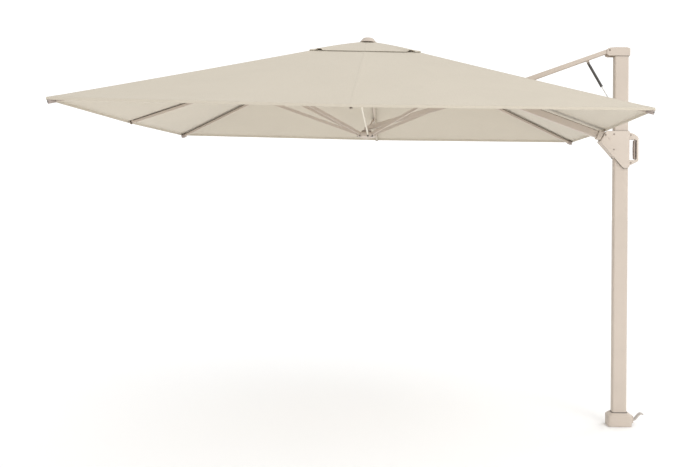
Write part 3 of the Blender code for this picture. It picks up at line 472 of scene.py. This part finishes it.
def open_slot(bm):
    """Cuts the opening that the arm passes through."""
    inverse = CROWN.inverted()
    for place, normal in (
        (Vector((SLOT_X[0], 0, 0)), Vector((1, 0, 0))),
        (Vector((SLOT_X[1], 0, 0)), Vector((1, 0, 0))),
        (Vector((0, SLOT_Y, 0)), Vector((0, 1, 0))),
        (Vector((0, -SLOT_Y, 0)), Vector((0, 1, 0))),
    ):
        centres = [(face, (inverse @ face.calc_center_median()).x) for face in bm.faces]
        near = [face for face, x in centres if SLOT_X[0] - 0.15 < x < SLOT_X[1] + 0.15]
        geometry = near + list({edge for face in near for edge in face.edges})
        geometry += list({vertex for face in near for vertex in face.verts})
        bmesh.ops.bisect_plane(
            bm, geom=geometry, plane_co=CROWN @ place, plane_no=CROWN.to_3x3() @ normal, dist=1e-6
        )
    inside = []
    for face in bm.faces:
        centre = inverse @ face.calc_center_median()
        if SLOT_X[0] < centre.x < SLOT_X[1] and abs(centre.y) < SLOT_Y:
            inside.append(face)
    bmesh.ops.delete(bm, geom=inside, context="FACES")


def build_canopy():
    for index, (body, node) in enumerate(CARRIERS):
        rows = shares(SHEET_START, 1.0, HEM_WIDTH, 26)
        bm = wedge(index, rows, main_height, HEM_DROP)
        if index == 0:
            open_slot(bm)
        made = cloth_piece(f"cloth_{panel_label(body)}", bm, body)
        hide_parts(node)
        fold_with(made)


def build_vent():
    for index, (body, _) in enumerate(CARRIERS):
        rows = shares(VENT_INNER, VENT_SHARE, VENT_HEM, 9)
        made = cloth_piece(f"vent_{panel_label(body)}", wedge(index, rows, vent_height, VENT_DROP), body)
        fold_with(made)


def build_vent_centre():
    """The round patch at the top, which goes under the vent's panels."""
    bm = bmesh.new()
    layers = {label: bm.loops.layers.uv.new(label) for label in ("Weave", "Seam", "Hem")}
    rings = [VENT_HOLE, 0.026, 0.042, VENT_INNER - 0.001, VENT_INNER + 0.001, 0.072, 0.088]
    grid = []
    for share in rings:
        sunk = 0.0024 * ease(share, VENT_INNER - 0.001, VENT_INNER + 0.001)
        line = []
        for index in range(8):
            for step in range(6):
                owner = index if step < 3 else (index + 1) % 8
                along = step / 3 if step < 3 else (step - 6) / 3
                point, to_corner, offset = rim_point(owner, along)
                z = vent_height(share, to_corner, offset * share, 1.0) - sunk
                line.append(bm.verts.new(CROWN @ Vector((point.x * share, point.y * share, z))))
        grid.append(line)
    count = len(grid[0])
    for inner, outer in zip(grid, grid[1:]):
        for left in range(count):
            right = (left + 1) % count
            face = bm.faces.new((inner[left], outer[left], outer[right], inner[right]))
            for loop in face.loops:
                local = CROWN.inverted() @ loop.vert.co
                loop[layers["Weave"]].uv = (local.x, local.y)
                loop[layers["Seam"]].uv = (local.length, 0.5)
                loop[layers["Hem"]].uv = (local.x, 0.5)
    made = cloth_piece("vent_centre", bm, "crown")
    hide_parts("vent_flap")


build_canopy()
build_vent()
build_vent_centre()


# Details that the frame leaves out


def block(low, high, edge=0.0, steps=2):
    """A box with rounded edges."""
    bm = bmesh.new()
    bmesh.ops.create_cube(bm, size=1.0)
    for vertex in bm.verts:
        for axis in range(3):
            vertex.co[axis] = low[axis] if vertex.co[axis] < 0 else high[axis]
    if edge:
        bmesh.ops.bevel(bm, geom=list(bm.edges), offset=edge, segments=steps, profile=0.5, affect="EDGES")
    return bm


def lathe(profile, steps=24):
    """A turned shape about Z, from its (radius, height) points."""
    bm = bmesh.new()
    rings = []
    for radius, height in profile:
        count = steps if radius > 1e-6 else 1
        turns = [2 * pi * i / steps for i in range(count)]
        rings.append([bm.verts.new((radius * cos(turn), radius * sin(turn), height)) for turn in turns])
    for lower, upper in zip(rings, rings[1:]):
        for i in range(steps):
            j = (i + 1) % steps
            corners = [lower[i % len(lower)], lower[j % len(lower)]]
            corners += [upper[j % len(upper)], upper[i % len(upper)]]
            corners = list(dict.fromkeys(corners))
            if len(corners) > 2:
                bm.faces.new(corners)
    bmesh.ops.recalc_face_normals(bm, faces=bm.faces)
    return bm


def bar(first, second):
    """A closed solid between two outlines with as many points."""
    bm = bmesh.new()
    rings = [[bm.verts.new(point) for point in outline] for outline in (first, second)]
    for i in range(len(first)):
        j = (i + 1) % len(first)
        bm.faces.new((rings[0][i], rings[0][j], rings[1][j], rings[1][i]))
    bm.faces.new(rings[0])
    bm.faces.new(rings[1])
    bmesh.ops.recalc_face_normals(bm, faces=bm.faces)
    return bm


def swept(section, low, high):
    """A bar of that (y, z) section along X."""
    return bar([(low, y, z) for y, z in section], [(high, y, z) for y, z in section])


def plate(loop, low, high):
    """An outline of (x, z) points, from low to high in Y."""
    return bar([(x, low, z) for x, z in loop], [(x, high, z) for x, z in loop])


def merged(parts):
    """One mesh from several, each put in its place."""
    whole = bmesh.new()
    for bm, place in parts:
        part = to_mesh(bm, "part", place)
        whole.from_mesh(part)
        bpy.data.meshes.remove(part)
    return whole


def rounded_loop(half_x, half_y, corner, steps=4):
    points = []
    for quarter, (side_x, side_y) in enumerate(((1, 1), (-1, 1), (-1, -1), (1, -1))):
        for step in range(steps + 1):
            turn = (quarter + step / steps) * pi / 2
            points.append((side_x * (half_x - corner) + corner * cos(turn),
                           side_y * (half_y - corner) + corner * sin(turn)))
    return points


def collar(inner, outer, low, high):
    """A ring round the mast, between two rounded rectangles (half x, half y, corner)."""
    bm = bmesh.new()
    loops = [rounded_loop(*inner), rounded_loop(*outer)]
    rings = [[bm.verts.new((x, y, z)) for x, y in loop]
             for loop, z in ((loops[0], low), (loops[1], low), (loops[1], high), (loops[0], high))]
    count = len(loops[0])
    for first, second in zip(rings, rings[1:] + rings[:1]):
        for i in range(count):
            j = (i + 1) % count
            bm.faces.new((first[i], first[j], second[j], second[i]))
    bmesh.ops.recalc_face_normals(bm, faces=bm.faces)
    return bm


def bar_frame(start, end, side):
    """A frame at start whose X axis points to end and whose Y axis is near side."""
    ahead = (end - start).normalized()
    across = (side - ahead * side.dot(ahead)).normalized()
    turned = Matrix((ahead, across, ahead.cross(across))).transposed().to_4x4()
    return Matrix.Translation(start) @ turned


def facing(point, direction):
    """A frame at that point whose Z axis is that direction."""
    return Matrix.Translation(point) @ direction.to_track_quat("Z", "Y").to_matrix().to_4x4()


# Heads of screws and pins, as (radius, height)
SCREW = [(0, -0.0004), (0.0016, -0.0004), (0.0019, 0.0014), (0.0034, 0.0015), (0.0044, 0.0008)]
SCREW += [(0.0046, -0.001), (0, -0.001)]
DOME = [(0, 0.0022), (0.0020, 0.0021), (0.0040, 0.0014), (0.0052, 0.0), (0.0052, -0.002), (0, -0.002)]


def scaled(profile, share):
    return [(radius * share, height * share) for radius, height in profile]


def detail(name, bm, look, body, slot, place=None, angle=35):
    return piece(name, smooth(to_mesh(bm, name, place), angle), look, body)


def build_rib_details():
    """Each rib's dark strip along its top, painted shade for the gap between rib and cloth, and its end cap,
    with two round plugs at the corners.
    """
    for name in RIBS:
        hinge = joint_point(f"rib_{name}_hinge")
        flat = CROWN.inverted() @ hinge
        azimuth = atan2(flat.y, flat.x)
        corner = name.startswith(("front_", "back_"))
        reach = hypot(HALF_X, HALF_Y) if corner else (HALF_X if name == "mid_left" else HALF_Y)
        end = CROWN @ Vector((reach * cos(azimuth), reach * sin(azimuth), RIM_Z - 0.003 - RIB_DROP))
        side = CROWN.to_3x3() @ Vector((-sin(azimuth), cos(azimuth), 0))
        place = bar_frame(hinge, end, side)
        length = (end - hinge).length
        top = RIB_Z / 2
        inner, outer = RIB_Y / 2 + 0.0002, RIB_Y / 2 + 0.0008
        roof, ceiling, skirt = top + 0.0012, top + 0.0002, top - 0.0036
        gap_shade_section = [(-outer, skirt), (-outer, roof), (outer, roof), (outer, skirt)]
        gap_shade_section += [(inner, skirt), (inner, ceiling), (-inner, ceiling), (-inner, skirt)]
        # Painted shade: a dark strip on top of the rib stands for the shadow between rib and cloth.
        strip = swept(gap_shade_section, 0.085, length - 0.030)
        detail(f"track_{name}", strip, DARK_CAP_AND_GAP_SHADE, f"rib_{name}", "dark_plastic", place)
        wide, long = (0.0140, 0.040) if corner else (0.0096, 0.014)
        out = 0.0030 if corner else -0.0030
        low, high = (length - long, -wide, -top - 0.0018), (length + out, wide, top + 0.0016)
        detail(f"rib_cap_{name}", block(low, high, 0.0024), GREY_CAP if corner else DARK_CAP_AND_GAP_SHADE, f"rib_{name}",
               "moulded_trim" if corner else "dark_plastic", place)
        if corner:
            plug = [(0, 0.0001), (0.0040, 0.0001), (0.0046, 0.0006), (0.0051, 0.0002)]
            plug += [(0.0051, -0.002), (0, -0.002)]
            face = Matrix.Translation((length + out + 0.0001, 0, 0)) @ Matrix.Rotation(pi / 2, 4, "Y")
            spots = [place @ Matrix.Translation((0, y, 0)) @ face for y in (-0.0068, 0.0068)]
            plugs = [(lathe(plug, 16), spot) for spot in spots]
            detail(f"rib_plugs_{name}", merged(plugs), LOOKS["dark_plastic"], f"rib_{name}", "dark_plastic")


def node_points(name):
    node = NODES[name]
    return [node.matrix_world @ vertex.co for vertex in node.data.vertices]


def build_strut_pins():
    """A domed pin through each strut's outer end and its rib."""
    for name in RIBS:
        start = joint_point(f"strut_{name}_hinge")
        points = node_points(f"strut_{name}")
        middle = sum(points, Vector()) / len(points)
        ahead = (middle - start).normalized()
        far = start + ahead * (max((point - start).dot(ahead) for point in points) - 0.010)
        rib_start = joint_point(f"rib_{name}_hinge")
        rib_points = node_points(f"rib_{name}")
        rib_middle = sum(rib_points, Vector()) / len(rib_points)
        along_rib = (rib_middle - rib_start).normalized()
        across = ahead.cross(along_rib).normalized()
        on_rib = rib_start + along_rib * (far - rib_start).dot(along_rib)
        outward = across * (1 if (far - on_rib).dot(across) > 0 else -1)
        head, back = far + outward * 0.0050, far - outward * 0.0220
        shank = [(0, 0), (0.0030, 0), (0.0030, 0.027), (0, 0.027)]
        parts = [
            (lathe(DOME, 16), facing(head, outward)),
            (lathe(DOME, 16), facing(back - outward * 0.0002, -outward)),
            (lathe(shank, 12), facing(back, outward)),
        ]
        detail(f"strut_pin_{name}", merged(parts), LOOKS["dark_plastic"], f"rib_{name}", "bright_steel")


def build_boom_gap_shades():
    """A dark strip along the top of the boom, painted shade for the gap between boom and cloth, and the
    gaskets at its knuckle.
    """
    scissor = joint_point("boom_fold")
    top = BOOM_Z / 2
    gap_shade_section = [(0.0025, top + 0.0012), (0.004, top + 0.0032), (0.011, top + 0.0028), (0.010, top + 0.0001)]
    gap_shade_section = [(-y, z) for y, z in reversed(gap_shade_section)] + gap_shade_section
    wide, tall = BOOM_Y / 2 + 0.0004, top + 0.0004
    gasket = [(wide, -tall), (wide, tall), (-wide, tall), (-wide, -tall)]
    gaskets = []
    for name, far, side, end_gap in (
        ("upper", joint_point("crown_level"), Vector((0, -1, 0)), 0.064),
        ("lower", joint_point("carriage_level"), Vector((0, 1, 0)), 0.102),
    ):
        place = bar_frame(scissor, far, side)
        # Painted shade: the dark strip stands for the shadow between boom and cloth.
        strip = swept(gap_shade_section, 0.052, (far - scissor).length - end_gap)
        detail(f"track_boom_{name}", strip, DARK_CAP_AND_GAP_SHADE, "boom", "dark_plastic", place)
        gaskets.append((swept(gasket, 0.0492, 0.0512), place))
    detail("knuckle_gaskets", merged(gaskets), LOOKS["dark_plastic"], "boom", "dark_plastic")


def build_mast_details():
    """Dark rings where pieces meet the mast, the one at the top of the carriage's sleeve being painted shade
    for the shadow line above the cheeks, and the heads of the arm's pivot pin.
    """
    inner = (MAST_X / 2 + 0.0002, MAST_Y / 2 + 0.0002, 0.012)
    for name, grow, low, high, body in (
        ("cap_gasket", 0.0016, MAST_TOP - 0.0022, MAST_TOP - 0.0001, "mast"),
        ("casing_dark_ring", 0.0040, CASING_TOP - 0.0040, CASING_TOP + 0.0040, "mast"),
        # Painted shade: this dark ring stands for the shadow line between the cheeks' top edge and the mast.
        ("sleeve_top_shade", 0.0032, SLEEVE_TOP + 0.0004, SLEEVE_TOP + 0.0135, "carriage"),
    ):
        outer = (inner[0] + grow, inner[1] + grow, inner[2] + grow * 0.6)
        seal = collar(inner, outer, low, high)
        detail(name, seal, LOOKS["dark_plastic"], body, "dark_plastic")
    for side, name in ((-1, "front"), (1, "rear")):
        out = Vector((0, side, 0))
        pivot_head = lathe(scaled(DOME, 1.3), 28)
        detail(f"cap_pin_head_{name}", pivot_head, BRONZE, "mast", "bright_steel",
               facing(joint_point("arm_swing") + out * 0.0426, out))


def screw_heads(spots, side, half, share):
    """Screws at those (x, z) spots, on the face at half on that side of the middle."""
    places = [facing(Vector((x, side * half, z)), Vector((0, side, 0))) for x, z in spots]
    return merged([(lathe(scaled(SCREW, share), 18), place) for place in places])


def build_carriage_details():
    """Screws, pin covers, dark strips under the cheeks' lower edges that are painted shade for the gap
    between cheek and mast, and the web between the cheeks.
    """
    cheek_spots = [(-0.1196, 2.140), (-0.058, 2.146), (-0.0588, 2.034)]
    grip_spots, grip_half = [(0.0725, 2.143), (0.0725, 1.938)], 0.026
    edge = [(-0.0545, 1.9790), (0.0035, 1.9128), (0.0170, 1.9000), (0.0450, 1.9020), (0.0545, 1.9100)]
    lip = [(x - 0.0018, z - 0.0052) for x, z in reversed(edge)]
    for side, name in ((-1, "front"), (1, "rear")):
        out = Vector((0, side, 0))
        cheek_screws = screw_heads(cheek_spots, side, CHEEK_FACE, 1.35)
        detail(f"cheek_screws_{name}", cheek_screws, BRONZE, "carriage", "bright_steel")
        cover = lathe(scaled(DOME, 1.8), 28)
        at_root = facing(joint_point("carriage_level") + out * CHEEK_FACE, out)
        detail(f"root_pin_cover_{name}", cover, LOOKS["moulded_trim"], "carriage", "moulded_trim", at_root)
        grip_screws = screw_heads(grip_spots, side, grip_half, 1.2)
        detail(f"grip_screws_{name}", grip_screws, BRONZE, "carriage", "bright_steel")
        # Painted shade: a dark strip along the cheek's lower edge stands for the shadow in the gap between
        # cheek and mast.
        gap_shade_strip = plate(edge + lip, *sorted((side * 0.0352, side * 0.0428)))
        detail(f"cheek_gap_shade_{name}", gap_shade_strip, LOOKS["dark_plastic"], "carriage", "dark_plastic")
    web = [(-0.1590, 2.0955), (-0.1560, 2.0975), (-0.0588, 1.9865), (-0.0618, 1.9840)]
    detail("cheek_web", plate(web, -0.0428, 0.0428), LOOKS["moulded_trim"], "carriage", "moulded_trim")
    # Painted shade: a thin dark plate on the inner face of the grip's bar stands for that face in shadow.
    inner_shade_plate = block((0.1135, -0.0215, 1.9760), (0.1158, 0.0215, 2.0960), 0.0010)
    detail("grip_inner_shade", inner_shade_plate, GRIP_AND_INNER_SHADE, "carriage", "dark_plastic")


def build_foot_details():
    """The boss round the pedal's slot with its rubber boot, and the treads on the pedal."""
    face, front = 0.0890, 0.1040
    walls = [block((face - 0.001, low, 0.0200), (front, high, 0.0700), 0.0014)
             for low, high in ((-0.0265, -0.0218), (0.0218, 0.0265))]
    walls.append(block((face - 0.001, -0.0265, 0.0655), (front - 0.002, 0.0265, 0.0705), 0.0014))
    boss = merged([(wall, Matrix.Identity(4)) for wall in walls])
    detail("pedal_boss", boss, LOOKS["moulded_trim"], "mast", "moulded_trim")
    boot = block((face - 0.001, -0.0215, 0.0190), (front - 0.003, 0.0215, 0.0262), 0.0012)
    detail("pedal_boot", boot, LOOKS["dark_plastic"], "mast", "dark_plastic")
    bar_of_tread = (0.158, -0.0185, 0.0862), (0.1605, 0.0185, 0.0888)
    steps = [Matrix.Translation((step * 0.0052, 0, -step * 0.0006)) for step in range(3)]
    tread = merged([(block(*bar_of_tread, 0.0008), step) for step in steps])
    detail("pedal_tread", tread, LOOKS["dark_plastic"], "pedal", "dark_plastic")


def build_runner_details():
    """The runner's boss, and a dark block in each strut's notch, painted shade for the shadow at the strut's
    pivot.
    """
    boss = [(0.0300, -0.038), (0.0365, -0.0385), (0.0365, -0.0200), (0.0340, -0.0170), (0.0300, -0.0170)]
    detail("runner_boss", lathe(boss, 32), GREY_CAP, "runner", "moulded_trim", RUNNER)
    notch_shades = []
    for name in RIBS:
        hinge = RUNNER.inverted() @ joint_point(f"strut_{name}_hinge")
        other = RUNNER.inverted().to_3x3() @ Vector(JOINTS[f"strut_{name}_hinge"]["axis"])
        ahead = other.cross(Vector((0, 0, 1))).normalized()
        ahead = ahead if ahead.dot(Vector((hinge.x, hinge.y, 0))) > 0 else -ahead
        place = bar_frame(hinge, hinge + ahead, Vector((0, 0, 1)).cross(ahead))
        # Painted shade: a dark block darkens each notch where a strut pivots.
        notch_shades.append((block((-0.0110, -0.0052, -0.0195), (0.0095, 0.0052, -0.0118), 0.0008), place))
    detail("runner_notch_shades", merged(notch_shades), LOOKS["dark_plastic"], "runner", "dark_plastic", RUNNER)


def build_spring_details():
    """Black fittings at both ends of the gas spring."""
    place = bar_frame(SPRING_TOP, SPRING_FOOT, Vector((0, 1, 0)))
    length = (SPRING_FOOT - SPRING_TOP).length
    turn = Matrix.Rotation(pi / 2, 4, "Y")
    ring = [(0.0102, -0.006), (0.0112, -0.005), (0.0112, 0.001), (0.0100, 0.002), (0.0042, 0.002)]
    detail("gas_cylinder_ring", lathe(ring), LOOKS["dark_plastic"], "gas_cylinder", "dark_plastic",
           place @ Matrix.Translation((CYLINDER_LENGTH, 0, 0)) @ turn)
    socket = [(0, -0.034), (0.0058, -0.034), (0.0066, -0.032), (0.0066, -0.010), (0, -0.010)]
    detail("gas_rod_socket", lathe(socket), LOOKS["dark_plastic"], "gas_rod", "dark_plastic",
           place @ Matrix.Translation((length, 0, 0)) @ turn)
    for name, centre, half, body in (
        ("top", SPRING_TOP, 0.0108, "arm"),
        ("foot", SPRING_FOOT, 0.0104, "mast"),
    ):
        ways = [Vector((0, side, 0)) for side in (-1, 1)]
        heads = [(lathe(DOME, 18), facing(centre + way * half, way)) for way in ways]
        detail(f"gas_pin_{name}", merged(heads), BRONZE, body, "bright_steel")


def build_arm_details():
    """Pin heads where the two rails cross the boom and meet the runner."""
    for name, joint, half, size in (
        ("scissor", "boom_fold", 0.0385, 2.3),
        ("runner", "runner_level", 0.0372, 1.7),
    ):
        ways = [Vector((0, side, 0)) for side in (-1, 1)]
        centre = joint_point(joint)
        heads = [(lathe(scaled(DOME, size), 28), facing(centre + way * half, way)) for way in ways]
        detail(f"{name}_pin_heads", merged(heads), BRONZE, "arm", "bright_steel")


build_rib_details()
build_strut_pins()
build_boom_gap_shades()
build_mast_details()
build_carriage_details()
build_foot_details()
build_runner_details()
build_spring_details()
build_arm_details()


# Stage: floor, lights and camera


def build_stage():
    floor = bpy.data.meshes.new("floor")
    reach = 60.0
    corners = [(-reach, -reach, 0), (reach, -reach, 0), (reach, reach, 0), (-reach, reach, 0)]
    floor.from_pydata(corners, [], [(0, 1, 2, 3)])
    ground = bpy.data.objects.new("floor", floor)
    bpy.context.scene.collection.objects.link(ground)
    look = start_material("floor_look", (0.96, 0.96, 0.96), 0.9)[0]
    floor.materials.append(look)

    world = bpy.data.worlds.new("studio")
    bpy.context.scene.world = world
    world.use_nodes = True
    background = world.node_tree.nodes["Background"]
    background.inputs["Color"].default_value = (1.0, 1.0, 1.0, 1)
    where = add(world.node_tree, "ShaderNodeTexCoord").outputs["Generated"]
    toward_x = add(world.node_tree, "ShaderNodeSeparateXYZ", {"Vector": where}).outputs["X"]
    strength = spread(world.node_tree, toward_x, 0.43, 1.15, -0.95, -0.45)
    world.node_tree.links.new(strength, background.inputs["Strength"])

    for label, place, target, size, power in (
        ("key", (3.0, -6.0, 6.5), (-1.2, 0, 1.6), 4.0, 155.0),
        ("rim", (5.0, 4.0, 4.0), (-1.0, 0, 1.8), 3.0, 60.0),
        ("low", (1.2, -4.5, 0.8), (0.0, 0, 0.2), 2.0, 21.0),
        ("bounce", (-2.9, -0.4, 0.12), (-2.9, 0.0, 2.4), 2.5, 11.0),
    ):
        data = bpy.data.lights.new(label, "AREA")
        data.shape = "DISK"
        data.size = size
        data.energy = power
        lamp = bpy.data.objects.new(label, data)
        bpy.context.scene.collection.objects.link(lamp)
        lamp.location = place
        lamp.rotation_mode = "QUATERNION"
        lamp.rotation_quaternion = (Vector(target) - Vector(place)).to_track_quat("-Z", "Y")
    bpy.context.scene.view_settings.view_transform = "Standard"


def build_camera():
    data = bpy.data.cameras.new("camera")
    data.sensor_width = 36.0
    data.lens = 41.35
    data.shift_x, data.shift_y = -0.1050, -0.0491
    data.clip_end = 300.0
    camera = bpy.data.objects.new("camera", data)
    bpy.context.scene.collection.objects.link(camera)
    camera.matrix_world = (
        Matrix.Translation((-1.453, -5.95, 1.66)) @ Matrix.Rotation(radians(90), 4, "X")
        @ Matrix.Rotation(radians(0.4), 4, "Z")
    )
    bpy.context.scene.camera = camera


build_stage()
build_camera()
